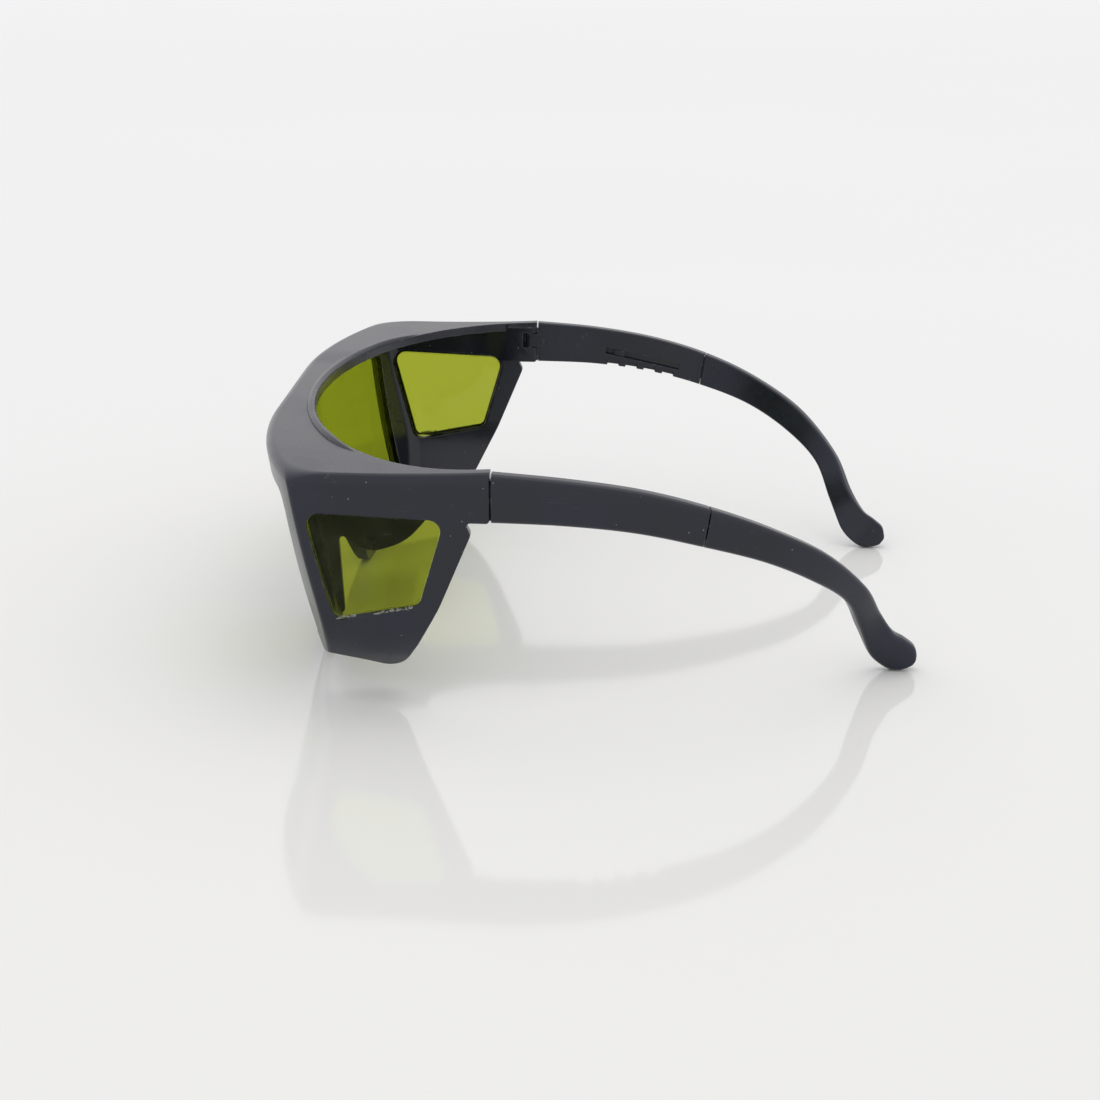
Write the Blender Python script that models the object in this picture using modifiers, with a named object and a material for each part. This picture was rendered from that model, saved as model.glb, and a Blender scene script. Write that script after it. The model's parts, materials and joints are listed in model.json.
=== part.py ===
"""Fit-over safety glasses with a brow shelf, side windows and two telescopic temples.

Frame of the part: +X is the wearer's left, -Y is the front, +Z is up. The glasses stand on the plane z = 0 on
their two lower front rims and the two temple tips. The origin is at the bottom centre of the bounding box.

The functions below work in millimetres, with y measured from the hinge seam. add_mesh turns that into metres
and into the part's own frame.
"""

import math

import bmesh
import bpy
from mathutils import Matrix, Vector

MM = 0.001
SEAM_Y = -20.62  # the hinge seam's place in the part's frame
CLEAR = 0.3  # between pieces that touch
BEYOND = 90.0  # further out than any surface, for the cutters that go right through

# Outer skin of the front
TOP_Z = 55.6
SIDE_X = 78.2
SIDE_WALL = 2.4
FRONT_WALL = 2.6
TOP_WALL = 2.2
TUCK_Z = 28.0  # the sides turn in below this height
TUCK_RADIUS = 27.0
TUCK_MOST = 22.0  # and drop straight down again this far below it
FRONT_FOOT_Y = -45.3
FRONT_LEAN = 0.357
FRONT_BOW_RADIUS = 258.0
FLAT_HALF = 20.0  # the straight middle of the brow
WRAP_RADIUS = 134.0
CORNER_RADIUS = 1.6
CORNER_REACH = 0.62  # run of the corner's arc along the front, per millimetre of radius
CORNER_MARGIN = 2.2
ARM_STATIONS = (-5.0, -10.0, -15.0, -20.0, -25.0, -30.0)  # extra points along a level section's sides, in y
INNER_CORNER_RADIUS = 4.0
BROW_CORNER_RADIUS = 16.0  # in plan, on the top of the brow
BROW_EDGE_RADIUS = 2.6
SIDE_EDGE_RADIUS = 1.5
BROW_RISE = 0.8  # the top climbs by this much towards the hinges
RISE_FROM_Y = -30.0
RISE_FROM_Z = 44.0

# Face opening in the brow shelf: half an ellipse, edged with a bead
FACE_HALF_WIDTH = 74.2
FACE_DEPTH = 46.0
FACE_CENTRE_Y = -4.4
BEAD_RADIUS = 1.1
BEAD_RISE = -0.15
BEAD_SINK = 0.9
BEAD_THINNING = 0.7
BEAD_FADE_Y = (-42.0, -25.0)  # the bead sinks and thins between these

# Side view of the side panel, (y, z, corner radius), from its front foot round to the hinge
SIDE_FOOT_Y = -37.7
SIDE_FOOT_Z = 10.3
PANEL_EDGE = [
    (-22.2, 5.3, 5.5),
    (-17.2, 13.8, 20.0),
    (-11.8, 24.2, 40.0),
    (-4.4, 42.0, 1.5),
    (-5.8, 44.8, 0.8),
]
BLOCK_REAR_Y = -0.2
BLOCK_FOOT_Z = 44.8
BLOCK_CORNER_RADIUS = 0.8

# Side window, (y, z, corner radius)
WINDOW = [(-42.4, 46.5, 2.8), (-35.8, 21.2, 2.2), (-16.2, 25.0, 2.2), (-10.3, 45.2, 2.8)]
WINDOW_SKIN = 0.9  # depth of the step that the lens sits behind
SIDE_REBATE = 0.8
REBATE = 1.3
LENS_SLACK = 0.25
SIDE_LENS_THICK = 1.3
LENS_CHAMFER = 0.35

# Front view of the rim: nose arch, foot and corner
NOSE_HALF_FOOT = 21.0
NOSE_HALF_ANGLE = math.radians(25)
NOSE_RADIUS = 10.0
RIM = 4.3
RIM_FOOT_HALF = 38.0
RIM_FOOT_RADIUS = 18.0
NOSE_FOOT_RADIUS = 8.0
RIM_CORNER_X = 71.3
LENS_TOP_Z = 48.8
LENS_TOP_HALF = 70.3
LENS_FOOT_HALF = 64.8
LENS_FOOT_Z = 12.2
LENS_CORNER_RADIUS = 4.0
FRONT_REACH = (-80.0, -30.0)  # in y, over the whole front wall
LENS_STEP = 1.0  # the front lens lies this far behind the frame's face
FRONT_LENS_THICK = 1.5

# Nose saddle: two rounded pads joined over the nose
SADDLE_WALL = 2.0
PAD_REACH = (-53.0, -20.0)
PAD_EDGE = [  # side view, (y, z, corner radius), down inside the front wall, up along the flange and back
    (-52.6, 27.5, 0.0),
    (-45.2, 1.6, 0.0),
    (-42.6, 1.6, 0.6),
    (-45.2, 20.4, 1.0),
    (-37.6, 15.4, 9.0),
    (-27.6, 18.4, 14.0),
    (-21.8, 24.6, 1.2),
    (-24.2, 31.0, 3.0),
]

# Hinge
PIN_X = 75.2
PIN_Y = -2.2
PIN_RADIUS = 0.6
PIN_HOLE_RADIUS = 0.68
PIN_TOP_Z = 54.6
HEAD_RADIUS = 0.85
HEAD_BORE_RADIUS = 0.95
HEAD_FOOT_Z = 45.1
HEAD_TOP_Z = 46.0
BLOCK_INNER_X = 73.8
BLOCK_CHAMFER = 0.5
BLOCK_FRONT_Y = -9.0
BLOCK_TAPER_Y = -15.0
POCKET_X = 77.0
POCKET_Y = -4.1
POCKET_Z = (49.0, 53.3)
KNUCKLE_RADIUS = 1.3
KNUCKLE_ROOT_Y = 1.8
KNUCKLE_Z = (49.2, 53.1)

# Temple: upper and lower edge of its outer face, station by station from the seam to the tip
UPPER_RAIL = [
    (78.4, 0.2, 56.2),
    (78.4, 17.0, 54.9),
    (77.3, 33.5, 52.5),
    (75.6, 49.0, 48.4),
    (71.8, 63.8, 42.4),
    (65.4, 76.8, 34.6),
    (57.3, 86.4, 24.3),
    (50.6, 90.8, 15.6),
    (49.2, 94.2, 10.0),
    (48.4, 97.0, 7.9),
    (48.0, 99.3, 6.0),
    (47.8, 99.9, 4.2),
    (47.8, 99.7, 2.9),
]
LOWER_RAIL = [
    (78.4, 0.2, 44.8),
    (78.4, 16.6, 44.4),
    (77.3, 32.6, 42.7),
    (75.7, 47.6, 39.4),
    (71.9, 61.8, 34.8),
    (66.2, 73.3, 28.5),
    (59.0, 81.6, 21.2),
    (52.8, 86.0, 12.0),
    (49.8, 88.4, 4.8),
    (48.2, 91.6, 1.2),
    (47.9, 94.6, 0.0),
    (47.8, 97.2, 0.4),
    (47.8, 98.7, 1.4),
]
SPLIT_STATION = 3.0
SPLIT_GAP_STATIONS = 0.02
SLEEVE_THICK = 3.6
TIP_THICK = 3.2
OUTER_EDGE_RADIUS = 1.3
INNER_EDGE_RADIUS = 0.5
FACE_CROWN = 0.25

# Telescopic slide: a straight tongue on the rear half, in a straight channel in the front half
SLIDE_POINT = Vector((73.9, 48.4, 44.0))
SLIDE_AXIS = Vector((-0.095, 1.0, -0.19)).normalized()
CHANNEL = (-30.6, 3.3, 0.95)  # front end, half height, half thickness
TONGUE = (-29.8, 2.9, 0.75)
TONGUE_ROOT = 6.0
SLOT_DROP = 0.9  # the slot runs this far under the channel's middle
SLOT = (-28.8, -7.2, 0.95)
BOSS = (-26.5, -23.2, 0.75)
BOSS_RISE = 1.75
NUB_S = -28.0
NUB_RADIUS = 0.8
NUB_DROP = 0.25
NUB_INSET = 0.2
NOTCH_FIRST_Y = 22.15
NOTCH_PITCH = 5.3
NOTCHES = 4
NOTCH_ROOF = 2.7
NOTCH_MOUTH = 3.9
NOTCH_DEPTH = 1.5
NOTCH_SKIN = 1.0

FRAME_PLASTIC = ((0.030, 0.032, 0.045), 0.28, 0.0)
TEMPLE_PLASTIC = ((0.026, 0.028, 0.042), 0.30, 0.0)
LENS_GREEN = ((0.28, 0.36, 0.02), 0.05, 0.0)
STEEL = ((0.55, 0.56, 0.58), 0.25, 1.0)


def clear_scene():
    for obj in list(bpy.data.objects):
        bpy.data.objects.remove(obj, do_unlink=True)


def collection(name):
    found = bpy.data.collections.new(name)
    bpy.context.scene.collection.children.link(found)
    return found


def material(name, look):
    colour, roughness, metallic = look
    made = bpy.data.materials.new(name)
    made.use_nodes = True
    shader = made.node_tree.nodes["Principled BSDF"]
    shader.inputs["Base Color"].default_value = (*colour, 1.0)
    shader.inputs["Roughness"].default_value = roughness
    shader.inputs["Metallic"].default_value = metallic
    return made


def add_mesh(name, bm, home):
    """Turns a bmesh in millimetres into an object in metres, with its faces pointing outwards."""
    bmesh.ops.recalc_face_normals(bm, faces=bm.faces)
    bmesh.ops.translate(bm, vec=(0.0, SEAM_Y, 0.0), verts=bm.verts)
    bmesh.ops.scale(bm, vec=(MM, MM, MM), verts=bm.verts)
    mesh = bpy.data.meshes.new(name)
    bm.to_mesh(mesh)
    bm.free()
    obj = bpy.data.objects.new(name, mesh)
    home.objects.link(obj)
    return obj


def loft(rings, strips=0):
    """A closed skin over rings of equal length, with end caps. Where the top cap isn't flat, it starts with
    strips across between the ring's two ends, which mirror each other."""
    bm = bmesh.new()
    loops = [[bm.verts.new(point) for point in ring] for ring in rings]
    count = len(rings[0])
    for lower, upper in zip(loops, loops[1:]):
        for i in range(count):
            j = (i + 1) % count
            bm.faces.new((lower[i], lower[j], upper[j], upper[i]))
    bm.faces.new(loops[0])
    top = loops[-1]
    for i in range(strips):
        bm.faces.new((top[i], top[i + 1], top[-2 - i], top[-1 - i]))
    bm.faces.new(top[strips : count - strips])
    return bm


def rounded(corners, steps=5):
    """The outline through (u, v, radius) corners, each turned into an arc of that radius."""
    outline = []
    for i, (u, v, radius) in enumerate(corners):
        here = Vector((u, v))
        back = (Vector(corners[i - 1][:2]) - here).normalized()
        ahead = (Vector(corners[(i + 1) % len(corners)][:2]) - here).normalized()
        if radius <= 0.0:
            outline.append(here)
            continue
        half = back.angle(ahead) / 2
        reach = radius / math.tan(half)
        centre = here + (back + ahead).normalized() * (radius / math.sin(half))
        first = here + back * reach - centre
        last = here + ahead * reach - centre
        turn = first.angle_signed(last)
        for step in range(steps + 1):
            angle = -turn * step / steps
            outline.append(centre + Matrix.Rotation(angle, 2) @ first)
    return outline


def grown(outline, distance):
    """The outline moved outwards by a distance, or inwards by a negative one."""
    area = sum(a.x * b.y - b.x * a.y for a, b in zip(outline, outline[1:] + outline[:1]))
    sign = 1.0 if area > 0 else -1.0
    moved = []
    for i, here in enumerate(outline):
        before = (here - outline[i - 1]).normalized()
        after = (outline[(i + 1) % len(outline)] - here).normalized()
        normal = Vector(((before + after).y, -(before + after).x)).normalized() * sign
        moved.append(here + normal * distance / max(normal.dot(Vector((after.y, -after.x)) * sign), 0.5))
    return moved


def prism_x(outline, x_low, x_high):
    """A (y, z) outline drawn out along X."""
    return loft([[(x, p.x, p.y) for p in outline] for x in (x_low, x_high)])


def prism_y(outline, y_low, y_high):
    """An (x, z) outline drawn out along Y."""
    return loft([[(p.x, y, p.y) for p in outline] for y in (y_low, y_high)])


def prism_z(outline, z_low, z_high):
    """An (x, y) outline drawn out along Z."""
    return loft([[(p.x, p.y, z) for p in outline] for z in (z_low, z_high)])


def boolean(target, tool, operation="DIFFERENCE"):
    modifier = target.modifiers.new(tool.name, "BOOLEAN")
    modifier.operation = operation
    modifier.solver = "EXACT"
    modifier.object = tool


def tool(name, bm):
    made = add_mesh(name, bm, TOOLS)
    made.hide_render = True
    made.display_type = "WIRE"
    return made


def finish(obj, look, origin=None):
    """Gives a piece its material and smooth shading, and puts its origin on its joint's axis."""
    obj.data.materials.append(material(obj.name, look))
    obj.data.shade_smooth()
    obj.data.set_sharp_from_angle(angle=math.radians(32))
    if origin is not None:
        place = Vector((origin[0], origin[1] + SEAM_Y, origin[2])) * MM
        obj.data.transform(Matrix.Translation(-place))
        obj.location = place
    return obj


# ---- front -------------------------------------------------------------------------------------------------


def side_x(z):
    """Half the width of the outer skin at a height."""
    drop = min(max(TUCK_Z - z, 0.0), TUCK_MOST)
    return SIDE_X - TUCK_RADIUS + math.sqrt(TUCK_RADIUS**2 - drop**2)


def front_y(x, z):
    """The outer skin's front face: straight in the middle, then wrapped back, and bowed from foot to brow."""
    wrap = max(abs(x) - FLAT_HALF, 0.0)
    back = WRAP_RADIUS - math.sqrt(WRAP_RADIUS**2 - wrap**2)
    return FRONT_FOOT_Y - FRONT_LEAN * z + z * z / (2 * FRONT_BOW_RADIUS) + back


def brow_rise(y, z):
    """How far the skin is lifted towards the hinge, near the top only."""
    behind = max(y - RISE_FROM_Y, 0.0) / -RISE_FROM_Y
    above = min(max((z - RISE_FROM_Z) / (TOP_Z - RISE_FROM_Z), 0.0), 1.0)
    return BROW_RISE * behind**2 * above


def skin_ring(z, side_inset, front_inset, corner_radius, rear_y=3.0, steps=13):
    """A level section of the front's solid form."""
    half = side_x(z) - side_inset
    corner_y = front_y(half, z) + front_inset
    arm = [(half, y, 0.0) for y in (rear_y, *ARM_STATIONS)]
    arm.append((half, corner_y, corner_radius))
    across = half - CORNER_REACH * corner_radius - CORNER_MARGIN
    xs = [across * math.sin(math.pi / 2 * i / steps) for i in range(steps, -steps - 1, -1)]
    front = [(x, front_y(x, z) + front_inset, 0.0) for x in xs]
    corners = arm + front + [(-x, y, r) for x, y, r in reversed(arm)]
    return [(p.x, p.y, z + brow_rise(p.y, z)) for p in rounded(corners, 6)]


def front_form():
    """The outer form, rounded over at the brow and a little at the sides."""
    levels = [-2.0, 2.0, 6.0, 10.0, 14.0, 18.0, 22.0, 26.0, 32.0, 38.0, 44.0, 50.0, TOP_Z - BROW_EDGE_RADIUS]
    rings = [skin_ring(z, 0.0, 0.0, CORNER_RADIUS) for z in levels]
    for step in range(1, 7):
        angle = math.pi / 2 * step / 6
        z = TOP_Z - BROW_EDGE_RADIUS * (1 - math.sin(angle))
        front_inset = BROW_EDGE_RADIUS * (1 - math.cos(angle))
        side_inset = SIDE_EDGE_RADIUS * (1 - math.cos(angle))
        corner = CORNER_RADIUS + (BROW_CORNER_RADIUS - CORNER_RADIUS) * (1 - math.cos(angle))
        rings.append(skin_ring(z, side_inset, front_inset, corner))
    return loft(rings, strips=len(ARM_STATIONS))


def front_hollow():
    """What is taken out of the outer form to leave its walls."""
    levels = [-4.0, 2.0, 6.0, 10.0, 14.0, 18.0, 22.0, 26.0, 32.0, 40.0, 48.0, TOP_Z - TOP_WALL]
    rings = [skin_ring(z, SIDE_WALL, FRONT_WALL, INNER_CORNER_RADIUS, rear_y=6.0) for z in levels]
    return loft(rings, strips=len(ARM_STATIONS))


def face_outline(grow=0.0, steps=40):
    """Plan of the face opening: half an ellipse, open to the rear."""
    points = []
    for step in range(steps + 1):
        angle = math.pi * step / steps
        x = (FACE_HALF_WIDTH + grow) * math.cos(angle)
        y = FACE_CENTRE_Y - (FACE_DEPTH + grow) * math.sin(angle)
        points.append(Vector((x, y)))
    return points


def face_cut():
    plan = face_outline()
    plan += [Vector((-FACE_HALF_WIDTH, 8.0)), Vector((FACE_HALF_WIDTH, 8.0))]
    return prism_z(plan, TOP_Z - 4 * TOP_WALL, TOP_Z + 4 * TOP_WALL)


def face_bead():
    """The bead along the edge of the face opening, which sinks into the shelf towards the hinges."""
    curve = bpy.data.curves.new("face_bead", "CURVE")
    curve.dimensions = "3D"
    curve.bevel_depth = BEAD_RADIUS * MM
    curve.bevel_resolution = 2
    curve.use_fill_caps = True
    plan = face_outline(grow=BEAD_RADIUS, steps=64)[8:-8]
    spline = curve.splines.new("POLY")
    spline.points.add(len(plan) - 1)
    for point, place in zip(spline.points, plan):
        fade = min(max((place.y - BEAD_FADE_Y[0]) / (BEAD_FADE_Y[1] - BEAD_FADE_Y[0]), 0.0), 1.0)
        fade = fade * fade * (3 - 2 * fade)
        z = TOP_Z + BEAD_RISE - BEAD_SINK * fade
        point.co = (place.x * MM, (place.y + SEAM_Y) * MM, z * MM, 1.0)
        point.radius = 1.0 - BEAD_THINNING * fade
    guide = bpy.data.objects.new("face_bead_curve", curve)
    TOOLS.objects.link(guide)
    bpy.context.view_layer.update()
    graph = bpy.context.evaluated_depsgraph_get()
    mesh = bpy.data.meshes.new_from_object(guide.evaluated_get(graph))
    bpy.data.objects.remove(guide, do_unlink=True)
    bm = bmesh.new()
    bm.from_mesh(mesh)
    bmesh.ops.remove_doubles(bm, verts=bm.verts, dist=1e-6)
    bmesh.ops.recalc_face_normals(bm, faces=bm.faces)
    bm.to_mesh(mesh)
    bm.free()
    bead = bpy.data.objects.new("face_bead", mesh)
    bead.hide_render = True
    bead.display_type = "WIRE"
    TOOLS.objects.link(bead)
    return bead


def panel_cut():
    """Everything behind and below the side panels."""
    corners = [(BLOCK_REAR_Y, 70.0, 0.0), (30.0, 70.0, 0.0), (30.0, -12.0, 0.0), (SIDE_FOOT_Y, -12.0, 0.0)]
    corners += [(SIDE_FOOT_Y, SIDE_FOOT_Z, 0.0)] + PANEL_EDGE
    corners += [(BLOCK_REAR_Y, BLOCK_FOOT_Z, BLOCK_CORNER_RADIUS)]
    return prism_x(rounded(corners), -BEYOND, BEYOND)


def nose_corners(offset):
    """Half of the nose arch's corners, moved away from the nose by an offset."""
    apex = NOSE_HALF_FOOT / math.tan(NOSE_HALF_ANGLE) + offset / math.sin(NOSE_HALF_ANGLE)
    foot = NOSE_HALF_FOOT + offset * (1 / math.cos(NOSE_HALF_ANGLE) - math.tan(NOSE_HALF_ANGLE))
    return foot, apex


def rim_cut():
    """Everything below the front's lower rim, with the nose arch."""
    foot, apex = nose_corners(0.0)
    half = [(BEYOND, -12.0, 0.0), (BEYOND, SIDE_FOOT_Z, 0.0), (RIM_CORNER_X, SIDE_FOOT_Z, 3.0)]
    half += [(RIM_FOOT_HALF, 0.0, RIM_FOOT_RADIUS), (foot, 0.0, NOSE_FOOT_RADIUS)]
    corners = half + [(0.0, apex, NOSE_RADIUS)] + [(-u, v, r) for u, v, r in reversed(half)]
    return prism_y(rounded(corners, 10), FRONT_REACH[0], SIDE_FOOT_Y + 0.05)


def lens_outline(grow=0.0):
    """Front view of the front lens opening."""
    foot, apex = nose_corners(RIM)
    half = [(LENS_TOP_HALF, LENS_TOP_Z, LENS_CORNER_RADIUS)]
    half += [(LENS_FOOT_HALF, LENS_FOOT_Z, LENS_CORNER_RADIUS)]
    half += [(RIM_FOOT_HALF - 1.4, RIM, RIM_FOOT_RADIUS - RIM), (foot, RIM, NOSE_FOOT_RADIUS + RIM)]
    corners = half + [(0.0, apex, NOSE_RADIUS + RIM)] + [(-u, v, r) for u, v, r in reversed(half)]
    return grown(rounded(corners, 8), grow)


def front_slab(near, far, steps=26, levels=12):
    """The layer of the front wall between two depths behind its outer face."""
    half = SIDE_X - SIDE_WALL + 1.5
    xs = [half * (2 * i / steps - 1) for i in range(steps + 1)]
    rings = []
    for level in range(levels + 1):
        z = -3.0 + (TOP_Z - TOP_WALL + 2.0) * level / levels
        outer = [(x, front_y(x, z) + near, z) for x in xs]
        inner = [(x, front_y(x, z) + far, z) for x in reversed(xs)]
        rings.append(outer + inner)
    return loft(rings)


def saddle():
    """Two rounded pads that reach back from the bridge and join over the nose."""
    skins = []
    for wall in (SADDLE_WALL, 0.0):
        foot, apex = nose_corners(wall)
        skins.append(rounded([(foot, 0.0, 0.0), (0.0, apex, NOSE_RADIUS + wall), (-foot, 0.0, 0.0)], 10))
    outer, inner = skins
    arch = tool("saddle", prism_y(outer + inner[::-1], *PAD_REACH))
    rear_y = PAD_EDGE[-1][0]
    top_z = 60.0
    corners = [(rear_y - 3.0, top_z, 0.0), (-60.0, top_z, 0.0), (-60.0, PAD_EDGE[0][1], 0.0)] + PAD_EDGE
    side = rounded(corners, 7)
    boolean(arch, tool("saddle_side", prism_x(side, -30.0, 30.0)), "INTERSECT")
    return arch


def hinge_block(side):
    """The thick rear end of the side panel that carries the hinge."""
    buried_x = SIDE_X - 0.8
    plan = [(BLOCK_REAR_Y, BLOCK_INNER_X + BLOCK_CHAMFER), (BLOCK_REAR_Y - BLOCK_CHAMFER, BLOCK_INNER_X)]
    plan += [(BLOCK_FRONT_Y, BLOCK_INNER_X)]
    plan += [(BLOCK_TAPER_Y, SIDE_X - SIDE_WALL), (BLOCK_TAPER_Y, buried_x), (BLOCK_REAR_Y, buried_x)]
    outline = [Vector((side * x, y)) for y, x in plan]
    return prism_z(outline, BLOCK_FOOT_Z, TOP_Z - 0.7)


def disc(radius, steps=24):
    return [Vector((math.cos(a), math.sin(a))) * radius for a in (math.tau * i / steps for i in range(steps))]


def round_hole(side, radius, z_low, z_high):
    """A round cutter on the hinge pin's axis."""
    return prism_z([p + Vector((side * PIN_X, PIN_Y)) for p in disc(radius)], z_low, z_high)


def front_frame():
    frame = add_mesh("front_frame", front_form(), PARTS)
    boolean(frame, tool("hollow", front_hollow()))
    boolean(frame, tool("face_cut", face_cut()))
    boolean(frame, face_bead(), "UNION")
    for side, name in SIDES:
        boolean(frame, tool(name + "_hinge_block", hinge_block(side)), "UNION")
    boolean(frame, tool("panel_cut", panel_cut()))
    boolean(frame, tool("rim_cut", rim_cut()))
    window = rounded(WINDOW, 5)
    boolean(frame, tool("windows", prism_x(window, -BEYOND, BEYOND)))
    for side, name in SIDES:
        inner, outer = sorted((side * 60.0, side * (SIDE_X - WINDOW_SKIN)))
        boolean(frame, tool(name + "_window_rebate", prism_x(grown(window, SIDE_REBATE), inner, outer)))
    boolean(frame, tool("lens_hole", prism_y(lens_outline(), *FRONT_REACH)))
    rebate = tool("lens_rebate", front_slab(LENS_STEP, LENS_STEP + 5.0))
    boolean(rebate, tool("lens_rebate_outline", prism_y(lens_outline(REBATE), *FRONT_REACH)), "INTERSECT")
    boolean(frame, rebate)
    boolean(frame, saddle(), "UNION")
    for side, name in SIDES:
        x_low, x_high = sorted((side * 70.0, side * POCKET_X))
        pocket = [Vector((POCKET_Y, z)) for z in POCKET_Z] + [Vector((5.0, z)) for z in reversed(POCKET_Z)]
        boolean(frame, tool(name + "_pocket", prism_x(pocket, x_low, x_high)))
        boolean(frame, tool(name + "_pin_hole", round_hole(side, PIN_HOLE_RADIUS, 40.0, PIN_TOP_Z + CLEAR)))
        head_bore = round_hole(side, HEAD_BORE_RADIUS, 40.0, HEAD_TOP_Z + CLEAR)
        boolean(frame, tool(name + "_head_bore", head_bore))
    return finish(frame, FRAME_PLASTIC)


def front_lens():
    lens = add_mesh("front_lens", front_slab(LENS_STEP + 0.1, LENS_STEP + 0.1 + FRONT_LENS_THICK), PARTS)
    outline = lens_outline(REBATE - LENS_SLACK)
    boolean(lens, tool("front_lens_outline", prism_y(outline, *FRONT_REACH)), "INTERSECT")
    return finish(lens, LENS_GREEN)


def side_lens(side, name):
    """A flat pane whose raised middle fills the window from inside."""
    window = rounded(WINDOW, 5)
    seat = SIDE_X - WINDOW_SKIN - 0.1
    flange = grown(window, SIDE_REBATE - LENS_SLACK)
    raised = grown(window, -LENS_SLACK)
    crown = grown(window, -LENS_SLACK - LENS_CHAMFER)
    face = seat + 0.45
    layers = [(flange, seat - SIDE_LENS_THICK), (flange, seat), (raised, seat)]
    layers += [(raised, face - 0.2), (crown, face)]
    rings = [[(side * x, p.x, p.y) for p in outline] for outline, x in layers]
    return finish(add_mesh(name + "_side_lens", loft(rings), PARTS), LENS_GREEN)


def hinge_screw(side, name):
    """A turned steel screw that enters from below, with a slotted head."""
    profile = [
        (0.0, PIN_TOP_Z),
        (PIN_RADIUS - 0.2, PIN_TOP_Z),
        (PIN_RADIUS, PIN_TOP_Z - 0.3),
        (PIN_RADIUS, HEAD_TOP_Z),
        (HEAD_RADIUS, HEAD_TOP_Z),
        (HEAD_RADIUS, HEAD_FOOT_Z + 0.25),
        (HEAD_RADIUS - 0.25, HEAD_FOOT_Z),
        (0.0, HEAD_FOOT_Z),
    ]
    mesh = bpy.data.meshes.new(name + "_hinge_screw")
    points = [(r * MM, 0.0, z * MM) for r, z in profile]
    mesh.from_pydata(points, [(i, i + 1) for i in range(len(points) - 1)], [])
    screw = bpy.data.objects.new(name + "_hinge_screw", mesh)
    PARTS.objects.link(screw)
    screw.location = (side * PIN_X * MM, (PIN_Y + SEAM_Y) * MM, 0.0)
    turn = screw.modifiers.new("turn", "SCREW")
    turn.steps = turn.render_steps = 24
    turn.use_merge_vertices = True
    turn.merge_threshold = 1e-6
    turn.use_smooth_shade = True
    slot = [Vector((u, v)) for u, v in ((-2, -0.2), (2, -0.2), (2, 0.2), (-2, 0.2))]
    slot = [p + Vector((side * PIN_X, PIN_Y)) for p in slot]
    boolean(screw, tool(name + "_screw_slot", prism_z(slot, 40.0, HEAD_FOOT_Z + 0.4)))
    screw.data.materials.append(material(screw.name, STEEL))
    return screw


# ---- temples -----------------------------------------------------------------------------------------------


def on_rail(rail, station):
    """A point on the smooth curve through a rail's stations."""
    i = min(int(station), len(rail) - 2)
    t = station - i
    a = Vector(rail[max(i - 1, 0)])
    b = Vector(rail[i])
    c = Vector(rail[i + 1])
    d = Vector(rail[min(i + 2, len(rail) - 1)])
    return 0.5 * (2 * b + (c - a) * t + (2 * a - 5 * b + 4 * c - d) * t * t + (3 * b - a - 3 * c + d) * t**3)


def temple_axes(station):
    """The lower edge point, height, and the along, up and outward directions at a station."""
    upper = on_rail(UPPER_RAIL, station)
    lower = on_rail(LOWER_RAIL, station)
    up = upper - lower
    height = up.length
    up.normalize()
    step = 0.02
    last = len(UPPER_RAIL) - 1
    high = min(station + step, last)
    low = max(station - step, 0.0)
    along = on_rail(UPPER_RAIL, high) - on_rail(UPPER_RAIL, low)
    along += on_rail(LOWER_RAIL, high) - on_rail(LOWER_RAIL, low)
    out = along.normalized().cross(up).normalized()
    return lower, height, out.cross(along).normalized(), up, out


def section(height, thick):
    """A temple's section as (outward, up) points, with a crowned outer face."""
    outer = min(OUTER_EDGE_RADIUS, height * 0.4)
    inner = min(INNER_EDGE_RADIUS, height * 0.2)
    corners = [
        (0.0, 0.0, outer),
        (FACE_CROWN, height / 2, 0.0),
        (0.0, height, outer),
        (-thick, height, inner),
        (-thick, 0.0, inner),
    ]
    return rounded(corners, 3)


def temple_ring(station, thick, side):
    lower, height, _, up, out = temple_axes(station)
    points = [lower + out * p.x + up * p.y for p in section(height, thick)]
    return [(side * p.x, p.y, p.z) for p in points]


def slide_box(side, s_low, s_high, up_low, up_high, out_low, out_high):
    """A box along the slide axis, given by its reach along, up and outwards from the slide point."""
    out = SLIDE_AXIS.cross(Vector((0.0, 0.0, 1.0))).normalized()
    up = out.cross(SLIDE_AXIS)
    rings = []
    for s in (s_low, s_high):
        ring = []
        for u, o in ((up_low, out_low), (up_high, out_low), (up_high, out_high), (up_low, out_high)):
            p = SLIDE_POINT + SLIDE_AXIS * s + up * u + out * o
            ring.append((side * p.x, p.y, p.z))
        rings.append(ring)
    return loft(rings)


def notch(side, y):
    """One ratchet notch in the lower inner edge of the sleeve, wider at its mouth."""
    station = SPLIT_STATION * y / LOWER_RAIL[3][1]
    for _ in range(8):
        station += (y - on_rail(LOWER_RAIL, station).y) / (LOWER_RAIL[3][1] / SPLIT_STATION)
    lower, _, _, up, out = temple_axes(station)
    along = up.cross(out)
    roof = NOTCH_ROOF / 2
    mouth = NOTCH_MOUTH / 2
    rings = []
    for o in (-NOTCH_SKIN, -SLEEVE_THICK - 2.0):
        ring = []
        for s, u in ((-roof, NOTCH_DEPTH), (roof, NOTCH_DEPTH), (mouth, -0.8), (-mouth, -0.8)):
            p = lower + along * s + up * u + out * o
            ring.append((side * p.x, p.y, p.z))
        rings.append(ring)
    return loft(rings)


def knuckle(side):
    """The hinge knuckle in front of the sleeve's butt end, round about the pin."""
    axis = Vector((side * PIN_X, PIN_Y))
    angles = [math.pi + math.pi * i / 12 for i in range(13)]
    outline = [axis + KNUCKLE_RADIUS * Vector((math.cos(a), math.sin(a))) for a in angles]
    outline += [Vector((axis.x + x, KNUCKLE_ROOT_Y)) for x in (KNUCKLE_RADIUS, -KNUCKLE_RADIUS)]
    return prism_z(outline, *KNUCKLE_Z)


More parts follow.
